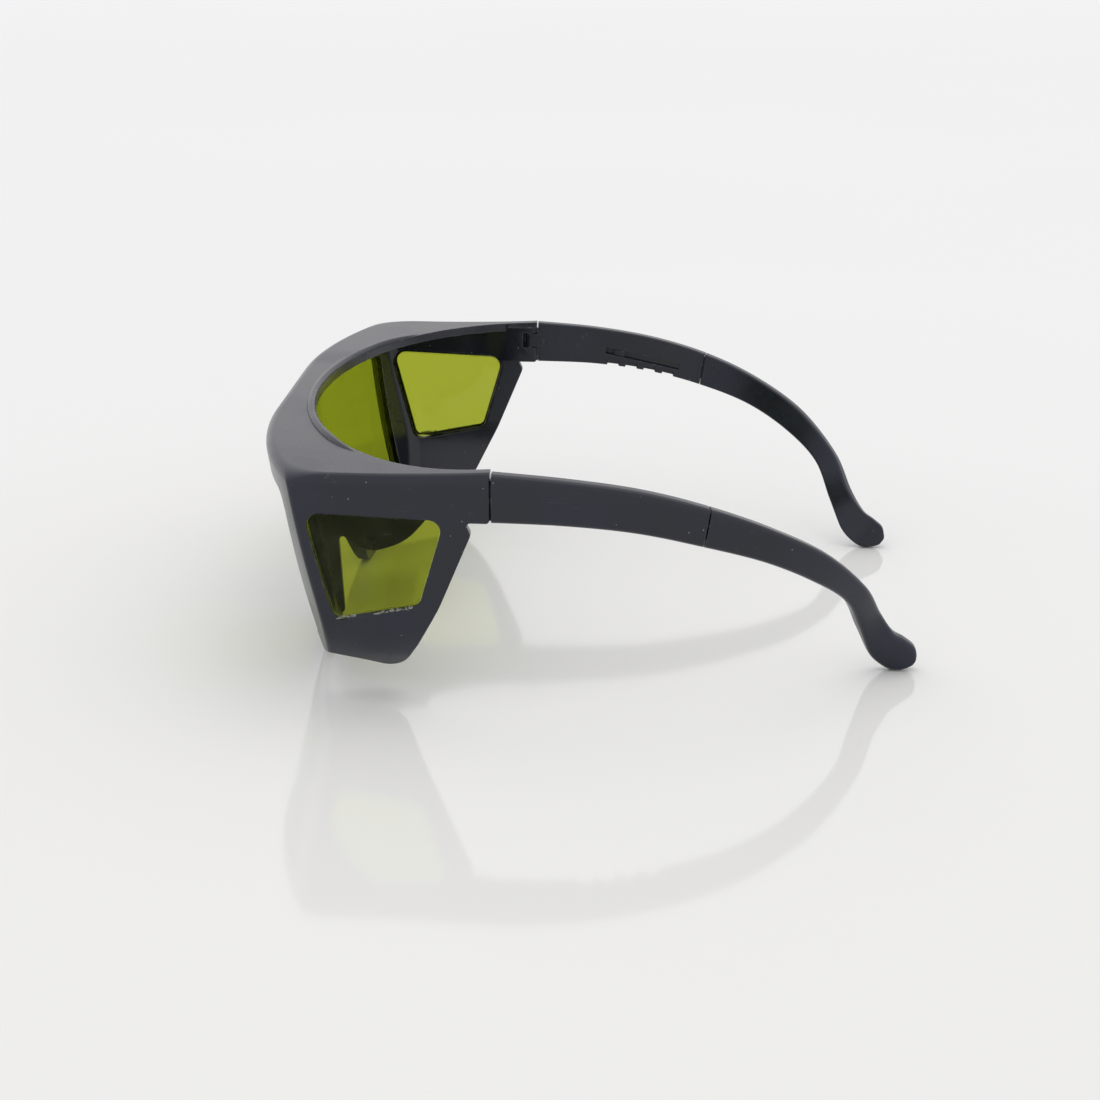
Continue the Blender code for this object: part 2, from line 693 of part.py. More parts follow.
def temple_sleeve(side, name):
    """The front half of a temple: an arm with the hinge knuckle, the channel, its slot and the notches."""
    count = 24
    stations = [SPLIT_STATION * i / count for i in range(count + 1)]
    rings = [temple_ring(s, SLEEVE_THICK, side) for s in stations]
    sleeve = add_mesh(name + "_temple_sleeve", loft(rings), PARTS)
    boolean(sleeve, tool(name + "_knuckle", knuckle(side)), "UNION")
    boolean(sleeve, tool(name + "_knuckle_hole", round_hole(side, PIN_HOLE_RADIUS, 45.0, 58.0)))
    front, half_height, half_thick = CHANNEL
    channel = slide_box(side, front, 4.0, -half_height, half_height, -half_thick, half_thick)
    boolean(sleeve, tool(name + "_channel", channel))
    first, last, half_slot = SLOT
    slot = slide_box(side, first, last, -SLOT_DROP - half_slot, -SLOT_DROP + half_slot, -4.0, 0.0)
    boolean(sleeve, tool(name + "_slot", slot))
    for i in range(NOTCHES):
        y = NOTCH_FIRST_Y + NOTCH_PITCH * i
        boolean(sleeve, tool(f"{name}_notch_{i + 1}", notch(side, y)))
    return finish(sleeve, TEMPLE_PLASTIC, (side * PIN_X, PIN_Y, 0.0))


def temple_tip(side, name):
    """The rear half of a temple: the curved arm and its foot, with the tongue that slides in the sleeve."""
    last = len(UPPER_RAIL) - 1
    start = SPLIT_STATION + SPLIT_GAP_STATIONS
    count = 54
    rings = []
    for i in range(count + 1):
        station = start + (last - start) * i / count
        ease = min((station - start) / 2.0, 1.0)
        rings.append(temple_ring(station, SLEEVE_THICK + (TIP_THICK - SLEEVE_THICK) * ease, side))
    tip = add_mesh(name + "_temple_tip", loft(rings), PARTS)
    front, half_height, half_thick = TONGUE
    tongue = slide_box(side, front, TONGUE_ROOT, -half_height, half_height, -half_thick, half_thick)
    boolean(tip, tool(name + "_tongue", tongue), "UNION")
    first, end, half_boss = BOSS
    boss = slide_box(side, first, end, -SLOT_DROP - half_boss, -SLOT_DROP + half_boss, -BOSS_RISE, 0.0)
    boolean(tip, tool(name + "_boss", boss), "UNION")
    nub_low = -half_height - NUB_DROP
    nub_half = half_thick - NUB_INSET
    nub = slide_box(side, NUB_S - NUB_RADIUS, NUB_S + NUB_RADIUS, nub_low, 0.0, -nub_half, nub_half)
    boolean(tip, tool(name + "_nub", nub), "UNION")
    return finish(tip, TEMPLE_PLASTIC)


clear_scene()
PARTS = collection("safety_glasses")
TOOLS = collection("cutters")
SIDES = ((1, "left"), (-1, "right"))
front_frame()
front_lens()
for side, name in SIDES:
    side_lens(side, name)
    hinge_screw(side, name)
    temple_sleeve(side, name)
    temple_tip(side, name)
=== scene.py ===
"""Fit-over safety glasses: a moulded front with a brow shelf, a wrap-round shield, two side windows, and two
temples that fold on screws and slide out in clicks. The script follows the glasses as they are put together.

Shapes are worked out in millimetres, with y counted from the seam between the front and the temples, +X
towards the wearer's left and +Z up. as_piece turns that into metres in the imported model's frame.
"""

import json
import math

import bmesh
import bpy
from mathutils import Matrix, Vector


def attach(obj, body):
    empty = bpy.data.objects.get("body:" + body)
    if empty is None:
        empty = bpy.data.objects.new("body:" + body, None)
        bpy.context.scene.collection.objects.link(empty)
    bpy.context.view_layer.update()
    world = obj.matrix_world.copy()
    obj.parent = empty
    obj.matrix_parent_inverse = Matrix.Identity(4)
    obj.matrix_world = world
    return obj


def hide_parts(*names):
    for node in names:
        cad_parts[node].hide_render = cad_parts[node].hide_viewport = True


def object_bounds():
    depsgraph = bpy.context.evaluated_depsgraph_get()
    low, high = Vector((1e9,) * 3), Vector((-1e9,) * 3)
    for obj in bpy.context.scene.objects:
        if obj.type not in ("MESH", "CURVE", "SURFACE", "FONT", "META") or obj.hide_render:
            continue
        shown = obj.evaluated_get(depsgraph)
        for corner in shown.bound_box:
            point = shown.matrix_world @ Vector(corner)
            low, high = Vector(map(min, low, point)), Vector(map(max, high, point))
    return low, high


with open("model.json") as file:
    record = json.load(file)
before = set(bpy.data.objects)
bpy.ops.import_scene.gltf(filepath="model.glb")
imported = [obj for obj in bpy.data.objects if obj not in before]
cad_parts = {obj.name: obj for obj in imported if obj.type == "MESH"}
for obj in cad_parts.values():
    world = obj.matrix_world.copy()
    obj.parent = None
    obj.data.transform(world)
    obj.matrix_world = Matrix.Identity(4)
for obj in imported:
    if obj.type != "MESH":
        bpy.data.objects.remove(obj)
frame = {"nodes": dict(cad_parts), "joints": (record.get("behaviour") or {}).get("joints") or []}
cad_low, cad_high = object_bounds()


# ============================================================================================================
# Front moulding: one injection moulding in near-black nylon that makes the brow shelf, the rim, the corner
# pillars, the side panels, the hinge blocks and the nose saddle. It is cored out from behind, and each
# opening has a step inside for its lens.
# ============================================================================================================

MM = 0.001
PIN_X, PIN_FROM_SEAM = 75.2, -2.2
fold = next(joint for joint in frame["joints"] if joint["name"] == "left_fold")
SEAM_Y = fold["pos_m"][1] / MM - PIN_FROM_SEAM

BROW_Z = 55.6
PANEL_X = 78.2
PANEL_WALL, RIM_WALL, BROW_WALL = 2.4, 2.6, 2.2
TUCK_Z, TUCK_RADIUS, TUCK_MOST = 28.0, 27.0, 22.0
RIM_FOOT_Y, RIM_LEAN, RIM_BOW = -45.3, 0.357, 258.0
BROW_STRAIGHT, WRAP_RADIUS = 20.0, 134.0
PILLAR_RADIUS, PILLAR_INNER_RADIUS = 1.6, 4.0
BROW_ROLL, SIDE_ROLL, BROW_CORNER_RADIUS = 2.6, 1.5, 16.0
BROW_RISE, RISE_FROM_Y, RISE_FROM_Z = 0.8, -30.0, 44.0
ARM_STATIONS = (-5.0, -10.0, -15.0, -20.0, -25.0, -30.0)  # extra points along a level section's sides, in y
CORNER_REACH, CORNER_MARGIN = 0.62, 2.2  # what a corner takes of the front: per mm of radius, and besides
THROUGH = 90.0  # further out than any surface
FRONT_REACH = (-80.0, -30.0)  # in y, over the whole front wall

FACE_HALF, FACE_DEPTH, FACE_Y = 74.2, 46.0, -4.4

PANEL_FOOT_Y, PANEL_FOOT_Z = -37.7, 10.3
PANEL_EDGE = [(-22.2, 5.3, 5.5), (-17.2, 13.8, 20), (-11.8, 24.2, 40), (-4.4, 42.0, 1.5), (-5.8, 44.8, 0.8)]
BLOCK_Y, BLOCK_Z, BLOCK_X, BLOCK_CHAMFER, BLOCK_ROUND = -0.2, 44.8, 73.8, 0.5, 0.8
BLOCK_FRONT_Y, BLOCK_TAPER_Y, BLOCK_BURIED = -9.0, -15.0, 0.8
POCKET_X, POCKET_Y, POCKET_Z = 77.0, -4.1, (49.0, 53.3)
PIN_HOLE, PIN_TOP, HEAD_BORE, HEAD_TOP = 0.68, 54.9, 0.95, 46.3
LIP_X, LIP_Y = (PIN_X - 0.5, PIN_X + 1.6), 0.1

WINDOW = [(-42.4, 46.5, 2.8), (-35.8, 21.2, 2.2), (-16.2, 25.0, 2.2), (-10.3, 45.2, 2.8)]
WINDOW_STEP, WINDOW_REBATE, LENS_STEP, REBATE = 0.9, 0.8, 1.0, 0.8

NOSE_FOOT, NOSE_SLOPE, NOSE_RADIUS, NOSE_FOOT_RADIUS = 21.0, math.radians(25), 10.0, 8.0
RIM, RIM_CORNER_X, RIM_FOOT_HALF, RIM_FOOT_RADIUS = 4.3, 71.3, 38.0, 18.0
SHIELD_TOP, SHIELD_FOOT, SHIELD_CORNER = (70.3, 48.8), (64.8, 12.2), 4.0
SADDLE_WALL, SADDLE_REACH = 2.0, (-53.0, -20.0)
PAD_EDGE = [
    (-52.6, 27.5, 0), (-45.2, 1.6, 0), (-42.6, 1.6, 0.6), (-45.2, 20.4, 1.0), (-37.6, 15.4, 9),
    (-27.6, 18.4, 14), (-21.8, 24.6, 1.2), (-24.2, 31.0, 3),
]


def rounded(corners, steps=8):
    """The outline through (u, v, radius) corners, each turned into an arc of that radius."""
    outline = []
    for i, (u, v, radius) in enumerate(corners):
        here = Vector((u, v))
        if radius <= 0:
            outline.append(here)
            continue
        back = (Vector(corners[i - 1][:2]) - here).normalized()
        ahead = (Vector(corners[(i + 1) % len(corners)][:2]) - here).normalized()
        half = back.angle(ahead) / 2
        centre = here + (back + ahead).normalized() * (radius / math.sin(half))
        first = here + back * (radius / math.tan(half)) - centre
        last = here + ahead * (radius / math.tan(half)) - centre
        turn = first.angle_signed(last)
        outline += [centre + Matrix.Rotation(-turn * s / steps, 2) @ first for s in range(steps + 1)]
    return outline


def grown(outline, distance):
    """The outline moved outwards by a distance."""
    area = sum(a.x * b.y - b.x * a.y for a, b in zip(outline, outline[1:] + outline[:1]))
    turn = math.copysign(1.0, area)
    moved = []
    for i, here in enumerate(outline):
        before = (here - outline[i - 1]).normalized()
        after = (outline[(i + 1) % len(outline)] - here).normalized()
        normal = Vector(((before + after).y, -(before + after).x)).normalized() * turn
        stretch = max(normal.dot(Vector((after.y, -after.x)) * turn), 0.5)
        moved.append(here + normal * distance / stretch)
    return moved


def loft(rings, strips=0):
    """A closed skin over rings of equal length, with end caps. A last cap that isn't flat starts with strips
    across, between the ring's two ends."""
    bm = bmesh.new()
    loops = [[bm.verts.new(point) for point in ring] for ring in rings]
    for lower, upper in zip(loops, loops[1:]):
        for i in range(len(lower)):
            bm.faces.new((lower[i - 1], lower[i], upper[i], upper[i - 1]))
    bm.faces.new(loops[0])
    top = loops[-1]
    for i in range(strips):
        bm.faces.new((top[i], top[i + 1], top[-2 - i], top[-1 - i]))
    bm.faces.new(top[strips : len(top) - strips])
    return bm


def drawn_out(outline, axis, low, high):
    """An outline drawn out along X, Y or Z. Its own two directions are the other two, in that order."""
    slot = "xyz".index(axis)
    rings = []
    for w in (low, high):
        rings.append([(*p[:slot], w, *p[slot:]) for p in outline])
    return loft(rings)


def as_piece(name, bm):
    """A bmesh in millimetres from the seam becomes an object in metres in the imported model's frame."""
    bmesh.ops.recalc_face_normals(bm, faces=bm.faces)
    bmesh.ops.translate(bm, vec=(0.0, SEAM_Y, 0.0), verts=bm.verts)
    bmesh.ops.scale(bm, vec=(MM, MM, MM), verts=bm.verts)
    mesh = bpy.data.meshes.new(name)
    bm.to_mesh(mesh)
    bm.free()
    obj = bpy.data.objects.new(name, mesh)
    bpy.context.scene.collection.objects.link(obj)
    return obj


def carve(target, tool, operation="DIFFERENCE"):
    """Cuts a tool from a piece, or joins it, and keeps the tool out of sight until the piece is set."""
    modifier = target.modifiers.new(tool.name, "BOOLEAN")
    modifier.operation = operation
    modifier.solver = "EXACT"
    modifier.object = tool
    tool.hide_render = True
    tool.hide_set(True)


def set_piece(obj, crease=32):
    """Fixes a piece's modifiers into a plain mesh with smooth shading, and throws its tools away."""
    tools = [m.object for m in obj.modifiers if m.type == "BOOLEAN"]
    graph = bpy.context.evaluated_depsgraph_get()
    mesh = bpy.data.meshes.new_from_object(obj.evaluated_get(graph))
    obj.modifiers.clear()
    obj.data = mesh
    mesh.shade_smooth()
    mesh.set_sharp_from_angle(angle=math.radians(crease))
    weigh = obj.modifiers.new("even", "WEIGHTED_NORMAL")
    weigh.keep_sharp = True
    graph = bpy.context.evaluated_depsgraph_get()
    smooth = bpy.data.meshes.new_from_object(obj.evaluated_get(graph))
    obj.modifiers.clear()
    obj.data = smooth
    for tool in tools:
        below = [m.object for m in tool.modifiers if m.type == "BOOLEAN"]
        for old in [tool] + below:
            bpy.data.objects.remove(old, do_unlink=True)
    smooth.name = obj.name
    return obj


def panel_x(z):
    """Half the front's width at a height: upright, then tucked in under the side windows."""
    drop = min(max(TUCK_Z - z, 0.0), TUCK_MOST)
    return PANEL_X - TUCK_RADIUS + math.sqrt(TUCK_RADIUS**2 - drop**2)


def rim_y(x, z):
    """The front face: straight in the middle and wrapped back at the sides, leaning and bowed upwards."""
    wrap = max(abs(x) - BROW_STRAIGHT, 0.0)
    back = WRAP_RADIUS - math.sqrt(WRAP_RADIUS**2 - wrap**2)
    return RIM_FOOT_Y - RIM_LEAN * z + z * z / (2 * RIM_BOW) + back


def brow_rise(y, z):
    """How far the front's form is lifted towards the hinges, near its top only."""
    behind = max(y - RISE_FROM_Y, 0.0) / -RISE_FROM_Y
    above = min(max((z - RISE_FROM_Z) / (BROW_Z - RISE_FROM_Z), 0.0), 1.0)
    return BROW_RISE * behind**2 * above


def level_ring(z, side_in, front_in, radius, rear_y, steps=44):
    """A level section through the front's form, open side to the rear."""
    half = panel_x(z) - side_in
    arm = [(half, y, 0.0) for y in (rear_y, *ARM_STATIONS)]
    arm.append((half, rim_y(half, z) + front_in, radius))
    across = half - CORNER_REACH * radius - CORNER_MARGIN
    xs = [across * math.sin(math.pi / 2 * i / steps) for i in range(steps, -steps - 1, -1)]
    middle = [(x, rim_y(x, z) + front_in, 0.0) for x in xs]
    ring = rounded(arm + middle + [(-x, y, r) for x, y, r in reversed(arm)], 12)
    return [(p.x, p.y, z + brow_rise(p.y, z)) for p in ring]


def rising(low, high, step):
    """Heights from low to high, about a step apart."""
    count = round((high - low) / step)
    return [low + (high - low) * i / count for i in range(count + 1)]


def front_form(roll_steps=10):
    """The front's outer form, rolled over at the brow."""
    rings = [level_ring(z, 0.0, 0.0, PILLAR_RADIUS, 3.0) for z in rising(-2.0, BROW_Z - BROW_ROLL, 2.4)]
    for step in range(1, roll_steps + 1):
        angle = math.pi / 2 * step / roll_steps
        inset = 1 - math.cos(angle)
        z = BROW_Z - BROW_ROLL * (1 - math.sin(angle))
        corner = PILLAR_RADIUS + (BROW_CORNER_RADIUS - PILLAR_RADIUS) * inset
        rings.append(level_ring(z, SIDE_ROLL * inset, BROW_ROLL * inset, corner, 3.0))
    return loft(rings, strips=len(ARM_STATIONS))


def front_core():
    """What is cored out of the outer form to leave its walls."""
    levels = rising(-4.0, BROW_Z - BROW_WALL, 3.0)
    rings = [level_ring(z, PANEL_WALL, RIM_WALL, PILLAR_INNER_RADIUS, 6.0) for z in levels]
    return loft(rings, strips=len(ARM_STATIONS))


def face_curve(grow, steps, skip=0):
    """Plan of the face opening, half an ellipse from one hinge round the front to the other."""
    points = []
    for step in range(skip, steps - skip + 1):
        angle = math.pi * step / steps
        x = (FACE_HALF + grow) * math.cos(angle)
        points.append(Vector((x, FACE_Y - (FACE_DEPTH + grow) * math.sin(angle))))
    return points


def nose_corners(offset):
    """The nose arch's foot and apex, moved away from the nose by an offset."""
    foot = NOSE_FOOT + offset * (1 / math.cos(NOSE_SLOPE) - math.tan(NOSE_SLOPE))
    apex = NOSE_FOOT / math.tan(NOSE_SLOPE) + offset / math.sin(NOSE_SLOPE)
    return foot, apex


def arched(half, offset, foot_z, foot_radius):
    """A front view's outline: the given left half, then the nose arch, then the right half."""
    foot, apex = nose_corners(offset)
    left = half + [(foot, foot_z, foot_radius)]
    middle = [(0.0, apex, NOSE_RADIUS + offset)]
    return rounded(left + middle + [(-u, v, r) for u, v, r in reversed(left)], 14)


def behind_panels():
    """What is cut away behind and below the side panels."""
    corners = [(BLOCK_Y, 70, 0), (30, 70, 0), (30, -12, 0), (PANEL_FOOT_Y, -12, 0)]
    corners += [(PANEL_FOOT_Y, PANEL_FOOT_Z, 0)] + PANEL_EDGE + [(BLOCK_Y, BLOCK_Z, BLOCK_ROUND)]
    return drawn_out(rounded(corners, 10), "x", -THROUGH, THROUGH)


def below_rim():
    """What is cut away below the front's lower rim, nose arch and all."""
    half = [(THROUGH, -12, 0), (THROUGH, PANEL_FOOT_Z, 0), (RIM_CORNER_X, PANEL_FOOT_Z, 3.0)]
    half.append((RIM_FOOT_HALF, 0.0, RIM_FOOT_RADIUS))
    return drawn_out(arched(half, 0.0, 0.0, NOSE_FOOT_RADIUS), "y", FRONT_REACH[0], PANEL_FOOT_Y + 0.05)


def shield_outline(grow=0.0):
    """Front view of the shield's opening, moved outwards by a distance."""
    half = [(*SHIELD_TOP, SHIELD_CORNER), (*SHIELD_FOOT, SHIELD_CORNER)]
    half.append((RIM_FOOT_HALF - 1.4, RIM, RIM_FOOT_RADIUS - RIM))
    return grown(arched(half, RIM, RIM, NOSE_FOOT_RADIUS + RIM), grow)


def wall_layer(near, far, steps=90, levels=26):
    """The part of the front wall between two depths behind its outer face."""
    half = PANEL_X - PANEL_WALL + 1.5
    xs = [half * (2 * i / steps - 1) for i in range(steps + 1)]
    rings = []
    for level in range(levels + 1):
        z = -3.0 + (BROW_Z - BROW_WALL + 2.0) * level / levels
        outer = [(x, rim_y(x, z) + near, z) for x in xs]
        inner = [(x, rim_y(x, z) + far, z) for x in reversed(xs)]
        rings.append(outer + inner)
    return loft(rings)


def nose_saddle():
    """Two rounded pads that reach back from the bridge and join over the nose."""
    skins = []
    for wall in (SADDLE_WALL, 0.0):
        foot, apex = nose_corners(wall)
        skins.append(rounded([(foot, 0, 0), (0, apex, NOSE_RADIUS + wall), (-foot, 0, 0)], 24))
    arch = as_piece("saddle", drawn_out(skins[0] + skins[1][::-1], "y", *SADDLE_REACH))
    above = [(PAD_EDGE[-1][0] - 3.0, 60.0, 0.0), (-60.0, 60.0, 0.0), (-60.0, PAD_EDGE[0][1], 0.0)]
    side = rounded(above + PAD_EDGE, 12)
    carve(arch, as_piece("saddle_side", drawn_out(side, "x", -30, 30)), "INTERSECT")
    return arch


def hinge_block(side):
    """The thick rear end of a side panel, which carries the hinge."""
    inner, taper = PANEL_X - PANEL_WALL, PANEL_X - BLOCK_BURIED
    plan = [(BLOCK_X + BLOCK_CHAMFER, BLOCK_Y), (BLOCK_X, BLOCK_Y - BLOCK_CHAMFER), (BLOCK_X, BLOCK_FRONT_Y)]
    plan += [(inner, BLOCK_TAPER_Y), (taper, BLOCK_TAPER_Y), (taper, BLOCK_Y)]
    return drawn_out([Vector((side * x, y)) for x, y in plan], "z", BLOCK_Z, BROW_Z - 0.7)


def seam_lip(side):
    """A low lip on a hinge block's rear face that hides the gap in front of the temple."""
    root = BLOCK_Y - 0.5
    plan = [(LIP_X[0], root), (LIP_X[0], LIP_Y), (LIP_X[1], LIP_Y), (LIP_X[1], root)]
    return drawn_out([Vector((side * x, y)) for x, y in plan], "z", BLOCK_Z + 0.3, BROW_Z - 1.2)


def on_pin(side, radius, low, high, steps=40):
    """A round bar on a hinge screw's axis."""
    turns = [math.tau * i / steps for i in range(steps)]
    axis = Vector((side * PIN_X, PIN_FROM_SEAM))
    return drawn_out([axis + radius * Vector((math.cos(a), math.sin(a))) for a in turns], "z", low, high)


SIDES = {"left": 1, "right": -1}
front = as_piece("front_moulding", front_form())
carve(front, as_piece("core", front_core()))
face_plan = face_curve(0.0, 120) + [Vector((-FACE_HALF, 8)), Vector((FACE_HALF, 8))]
carve(front, as_piece("face_cut", drawn_out(face_plan, "z", BROW_Z - 9, BROW_Z + 9)))
for name, side in SIDES.items():
    carve(front, as_piece(name + "_block", hinge_block(side)), "UNION")
carve(front, as_piece("behind_panels", behind_panels()))
for name, side in SIDES.items():
    carve(front, as_piece(name + "_seam_lip", seam_lip(side)), "UNION")
carve(front, as_piece("below_rim", below_rim()))
window = rounded(WINDOW, 10)
carve(front, as_piece("windows", drawn_out(window, "x", -THROUGH, THROUGH)))
for name, side in SIDES.items():
    reach = sorted((side * 60.0, side * (PANEL_X - WINDOW_STEP)))
    carve(front, as_piece(name + "_window_step", drawn_out(grown(window, WINDOW_REBATE), "x", *reach)))
carve(front, as_piece("shield_hole", drawn_out(shield_outline(), "y", *FRONT_REACH)))
seat = as_piece("shield_seat", wall_layer(LENS_STEP, LENS_STEP + 5.0))
carve(seat, as_piece("shield_seat_edge", drawn_out(shield_outline(REBATE), "y", *FRONT_REACH)), "INTERSECT")
carve(front, seat)
carve(front, nose_saddle(), "UNION")
for name, side in SIDES.items():
    pocket = [Vector((POCKET_Y, z)) for z in POCKET_Z] + [Vector((5.0, z)) for z in reversed(POCKET_Z)]
    reach = sorted((side * 70.0, side * POCKET_X))
    carve(front, as_piece(name + "_pocket", drawn_out(pocket, "x", *reach)))
    carve(front, as_piece(name + "_pin_hole", on_pin(side, PIN_HOLE, 40.0, PIN_TOP)))
    carve(front, as_piece(name + "_head_bore", on_pin(side, HEAD_BORE, 40.0, HEAD_TOP)))
set_piece(front)


class Wire:
    """A shader node's output that adds, subtracts and scales like a number, by way of Math nodes."""

    def __init__(self, board, socket):
        self.board = board
        self.socket = socket

    def math(self, operation, first, second):
        return self.board.add("ShaderNodeMath", {"operation": operation}, {0: first, 1: second})

    def __add__(self, other):
        return self.math("ADD", self, other)

    __radd__ = __add__

    def __sub__(self, other):
        return self.math("SUBTRACT", self, other)

    def __rsub__(self, other):
        return self.math("SUBTRACT", other, self)

    def __mul__(self, other):
        return self.math("MULTIPLY", self, other)

    __rmul__ = __mul__

    def __gt__(self, other):
        return self.math("GREATER_THAN", self, other)

    def __lt__(self, other):
        return self.math("LESS_THAN", self, other)


class Board:
    """A material's nodes. add puts a node on the board and gives the wire from one of its outputs."""

    def __init__(self, name, flat):
        self.material = bpy.data.materials.new(name)
        self.material.use_nodes = True
        self.tree = self.material.node_tree
        self.shader = self.tree.nodes["Principled BSDF"]
        for socket, value in flat.items():
            self.shader.inputs[socket].default_value = value

    def add(self, kind, settings=None, inputs=None, output=0):
        node = self.tree.nodes.new(kind)
        for key, value in (settings or {}).items():
            if key == "stops":
                for element, (position, shade) in zip(node.color_ramp.elements, value):
                    element.position = position
                    element.color = (shade, shade, shade, 1.0)
            else:
                setattr(node, key, value)
        for key, value in (inputs or {}).items():
            self.join(node.inputs[key], value)
        return Wire(self, node.outputs[output])

    def join(self, socket, value):
        if isinstance(value, Wire):
            self.tree.links.new(value.socket, socket)
        else:
            socket.default_value = value

    def feed(self, socket, value):
        self.join(self.shader.inputs[socket], value)


def noise(board, place, scale, detail=2.0, rough=0.5, output=0):
    inputs = {"Vector": place, "Scale": scale, "Detail": detail, "Roughness": rough}
    return board.add("ShaderNodeTexNoise", {}, inputs, output)


def ramp(board, value, low, high):
    """0 below low, 1 above high, and smooth between."""
    settings = {"interpolation_type": "SMOOTHSTEP", "clamp": True}
    return board.add("ShaderNodeMapRange", settings, {"Value": value, "From Min": low, "From Max": high})


def mix_colours(board, factor, first, second):
    inputs = {0: factor, 6: first, 7: second}
    return board.add("ShaderNodeMix", {"data_type": "RGBA"}, inputs, 2)


def hairlines(board, place, turn, length, cover):
    """Sparse fine scratches that run one way: the crests of a noise drawn out into needles."""
    stretch = {"Vector": place, "Rotation": turn, "Scale": (3200.0, 3200.0 / length, 3200.0)}
    needles = noise(board, board.add("ShaderNodeMapping", {}, stretch), 1.0, 1.0)
    patch = ramp(board, noise(board, place, 70.0, 3.0), cover, cover + 0.12)
    return ramp(board, needles, 0.70, 0.76) * patch


def moulded_nylon(name, colour, turn):
    """Glossy moulded nylon, worn by handling: scratches, dust and grime, paler patchy edges that are part
    rubbed wear and part painted highlight, and lighter rough blotches of painted sheen.
    """
    board = Board(name, {"IOR": 1.5, "Specular IOR Level": 0.5})
    place = board.add("ShaderNodeTexCoord", {}, {}, "Object")
    cloud = noise(board, place, 38.0, 4.0)
    fine = noise(board, place, 900.0, 3.0)
    soft_edge = board.add("ShaderNodeBevel", {"samples": 6}, {"Radius": 0.0005})
    true_face = board.add("ShaderNodeNewGeometry", {}, {}, "Normal")
    both = {0: soft_edge, 1: true_face}
    facing = board.add("ShaderNodeVectorMath", {"operation": "DOT_PRODUCT"}, both, "Value")
    # Paler along the edges and corners, in patches: partly rubbed wear, partly a painted highlight along the
    # edges.
    edge_wear_and_highlight = (1 - ramp(board, facing, 0.82, 0.995)) * ramp(board, noise(board, place, 420.0, 4.0), 0.45, 0.70)
    scratch = hairlines(board, place, turn, 26.0, 0.50)
    scratch = scratch + hairlines(board, place, (turn[0], turn[1], turn[2] + 1.1), 18.0, 0.54)
    cell = {"Vector": place, "Scale": 680.0}
    dots = board.add("ShaderNodeTexVoronoi", {}, cell)
    middle = board.add("ShaderNodeTexVoronoi", {}, cell, "Position")
    chance = board.add("ShaderNodeTexWhiteNoise", {}, {"Vector": middle})
    speck = (dots < 0.12) * (chance > 0.93)
    grime = ramp(board, noise(board, place, 330.0, 5.0, 0.65), 0.58, 0.72)
    grime = grime * ramp(board, noise(board, place, 46.0, 3.0), 0.50, 0.66)
    mark = ramp(board, scratch * 0.20 + edge_wear_and_highlight * 0.60 + speck * 0.9 + grime * 0.26, 0.0, 1.0)
    pale = (0.15, 0.16, 0.19, 1.0)
    # Broad lighter blotches where the cloud is high: the lighter colour is a painted mottled sheen, while the
    # higher roughness there is real.
    sheen_blotch = tuple(c * 2.0 for c in colour) + (1.0,)
    body = mix_colours(board, ramp(board, cloud, 0.35, 0.75), colour + (1.0,), sheen_blotch)
    board.feed("Base Color", mix_colours(board, mark, body, pale))
    gloss = 0.20 + ramp(board, cloud, 0.40, 0.70) * 0.10 + fine * 0.05 + mark * 0.20
    board.feed("Roughness", gloss)
    height = noise(board, place, 240.0, 2.0) * 0.6 + fine * 0.10 - scratch * 0.2 + speck * 1.2
    bump = board.add("ShaderNodeBump", {}, {
        "Strength": 0.30, "Distance": 0.00006, "Height": height, "Normal": soft_edge})
    board.feed("Normal", bump)
    return board.material


def paint(obj, material):
    """Gives a piece one material."""
    obj.data.materials.clear()
    obj.data.materials.append(material)


NAVY_BLACK = (0.0034, 0.0048, 0.0120)
paint(front, moulded_nylon("front_nylon", NAVY_BLACK, (0.0, 0.0, 0.3)))
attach(front, "front")
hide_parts("front_frame")


# ============================================================================================================
# Face bead: a raised half-round lip along the edge of the face opening, part of the same moulding. It is a
# round profile swept along the half ellipse, and it thins and sinks into the shelf towards the hinges.
# ============================================================================================================

BEAD_RADIUS, BEAD_RISE, BEAD_SINK, BEAD_THINNING = 1.1, -0.15, 0.9, 0.7
BEAD_FADE = (-42.0, -25.0)


def group(name, sizes):
    """An empty Geometry Nodes tree with a mesh coming in, and numbers and a material as named inputs."""
    tree = bpy.data.node_groups.new(name, "GeometryNodeTree")
    tree.interface.new_socket("Geometry", in_out="INPUT", socket_type="NodeSocketGeometry")
    for label, kind in sizes.items():
        tree.interface.new_socket(label, in_out="INPUT", socket_type=kind)
    tree.interface.new_socket("Geometry", in_out="OUTPUT", socket_type="NodeSocketGeometry")
    return tree, tree.nodes.new("NodeGroupInput"), tree.nodes.new("NodeGroupOutput")


def tree_node(tree, kind, settings=None, inputs=None):
    """Puts a node in a tree, with its settings, and with its inputs as values or as links."""
    node = tree.nodes.new(kind)
    for key, value in (settings or {}).items():
        setattr(node, key, value)
    for key, value in (inputs or {}).items():
        if isinstance(value, bpy.types.NodeSocket):
            tree.links.new(value, node.inputs[key])
        else:
            node.inputs[key].default_value = value
    return node


def closing(tree, source, out, geometry):
    """Ends a tree: instances made real, and the piece's material set."""
    real = tree_node(tree, "GeometryNodeRealizeInstances", {}, {"Geometry": geometry})
    painted = {"Geometry": real.outputs[0], "Material": source.outputs["Material"]}
    coat = tree_node(tree, "GeometryNodeSetMaterial", {}, painted)
    tree.links.new(coat.outputs[0], out.inputs[0])


def grow_piece(guide, tree, values):
    """Runs a tree on a guide object, with its inputs set by identifier, and leaves a plain mesh."""
    modifier = guide.modifiers.new(tree.name, "NODES")
    modifier.node_group = tree
    for item in tree.interface.items_tree:
        if item.in_out == "INPUT" and item.name in values:
            modifier[item.identifier] = values[item.name]
    graph = bpy.context.evaluated_depsgraph_get()
    mesh = bpy.data.meshes.new_from_object(guide.evaluated_get(graph))
    guide.modifiers.clear()
    guide.data = mesh
    return guide


